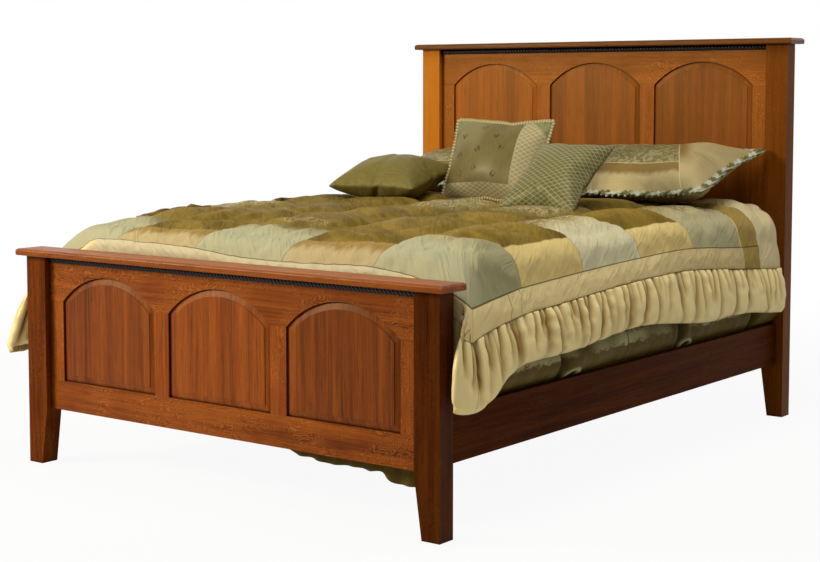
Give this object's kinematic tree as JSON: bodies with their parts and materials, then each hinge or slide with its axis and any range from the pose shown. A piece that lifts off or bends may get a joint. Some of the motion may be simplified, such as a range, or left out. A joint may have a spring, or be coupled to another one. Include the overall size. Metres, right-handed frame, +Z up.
{
  "type": "panel bed",
  "caption": "Dressed panel bed with arched raised panels in headboard and footboard, rope mouldings, hook-on side rails, slats, mattress, comforter and pillows.",
  "frame": {"origin": "on the floor, at the middle of the bed's footprint", "axes": "+Z up, +Y from the footboard towards the headboard, +X to the right seen from the foot"},
  "size_m": [1.7812, 2.257, 1.395],
  "materials": {
    "stained_oak": "satin",
    "dark_stained_oak": "satin",
    "plain_softwood": "matte",
    "zinc_steel": "satin",
    "foot_steel": "satin",
    "box_spring_ticking": "matte",
    "mattress_ticking": "matte",
    "olive_satin": "satin",
    "quilted_satin": "satin",
    "champagne_satin": "satin",
    "gold_satin": "satin",
    "lattice_satin": "satin"
  },
  "bodies": {
    "bed_frame": {"centre_leg_1": "plain_softwood", "centre_leg_2": "plain_softwood", "centre_leg_3": "plain_softwood", "footboard_bottom_rail": "stained_oak", "footboard_cap": "stained_oak", "footboard_centre_panel": "stained_oak", "footboard_left_muntin": "stained_oak", "footboard_left_panel": "stained_oak", "footboard_left_post": "stained_oak", "footboard_left_stile": "stained_oak", "footboard_right_muntin": "stained_oak", "footboard_right_panel": "stained_oak", "footboard_right_post": "stained_oak", "footboard_right_stile": "stained_oak", "footboard_rope_moulding": "dark_stained_oak", "footboard_top_rail": "stained_oak", "headboard_bottom_rail": "stained_oak", "headboard_cap": "stained_oak", "headboard_centre_panel": "stained_oak", "headboard_left_muntin": "stained_oak", "headboard_left_panel": "stained_oak", "headboard_left_post": "stained_oak", "headboard_left_stile": "stained_oak", "headboard_right_muntin": "stained_oak", "headboard_right_panel": "stained_oak", "headboard_right_post": "stained_oak", "headboard_right_stile": "stained_oak", "headboard_rope_moulding": "dark_stained_oak", "headboard_top_rail": "stained_oak", "ledger_screws": "zinc_steel", "left_ledger": "plain_softwood", "left_side_rail": "stained_oak", "leg_screws": "zinc_steel", "post_slot_plates": "zinc_steel", "rail_hook_plates": "zinc_steel", "right_ledger": "plain_softwood", "right_side_rail": "stained_oak", "slat_1": "plain_softwood", "slat_2": "plain_softwood", "slat_3": "plain_softwood", "slat_4": "plain_softwood", "slat_5": "plain_softwood", "threaded_inserts": "zinc_steel"},
    "box_spring": {"box_spring": "box_spring_ticking", "bed_skirt": "olive_satin"},
    "mattress": {"mattress": "mattress_ticking", "comforter": "quilted_satin"},
    "left_sham": {"left_sham": "champagne_satin"},
    "right_sham": {"right_sham": "champagne_satin"},
    "gold_pillow": {"gold_pillow": "gold_satin"},
    "lattice_pillow": {"lattice_pillow": "lattice_satin"},
    "olive_pillow": {"olive_pillow": "olive_satin"},
    "levelling_foot_1": {"levelling_foot_1": "foot_steel"},
    "levelling_foot_2": {"levelling_foot_2": "foot_steel"},
    "levelling_foot_3": {"levelling_foot_3": "foot_steel"}
  },
  "joints": [
    {"name": "box_spring_lift", "type": "slide", "parent": "bed_frame", "child": "box_spring", "axis": [0, 0, 1], "range_m": [0, 0.3]},
    {"name": "mattress_lift", "type": "slide", "parent": "box_spring", "child": "mattress", "axis": [0, 0, 1], "range_m": [0, 0.3]},
    {"name": "left_sham_lift", "type": "slide", "parent": "mattress", "child": "left_sham", "axis": [0, 0, 1], "range_m": [0, 0.25]},
    {"name": "right_sham_lift", "type": "slide", "parent": "mattress", "child": "right_sham", "axis": [0, 0, 1], "range_m": [0, 0.25]},
    {"name": "gold_pillow_lift", "type": "slide", "parent": "mattress", "child": "gold_pillow", "axis": [0, 0, 1], "range_m": [0, 0.25]},
    {"name": "lattice_pillow_lift", "type": "slide", "parent": "mattress", "child": "lattice_pillow", "axis": [0, 0, 1], "range_m": [0, 0.25]},
    {"name": "olive_pillow_lift", "type": "slide", "parent": "mattress", "child": "olive_pillow", "axis": [0, 0, 1], "range_m": [0, 0.25]},
    {"name": "levelling_foot_1_screw", "type": "slide", "parent": "bed_frame", "child": "levelling_foot_1", "axis": [0, 0, 1], "range_m": [0, 0.01]},
    {"name": "levelling_foot_2_screw", "type": "slide", "parent": "bed_frame", "child": "levelling_foot_2", "axis": [0, 0, 1], "range_m": [0, 0.01]},
    {"name": "levelling_foot_3_screw", "type": "slide", "parent": "bed_frame", "child": "levelling_foot_3", "axis": [0, 0, 1], "range_m": [0, 0.01]}
  ]
}
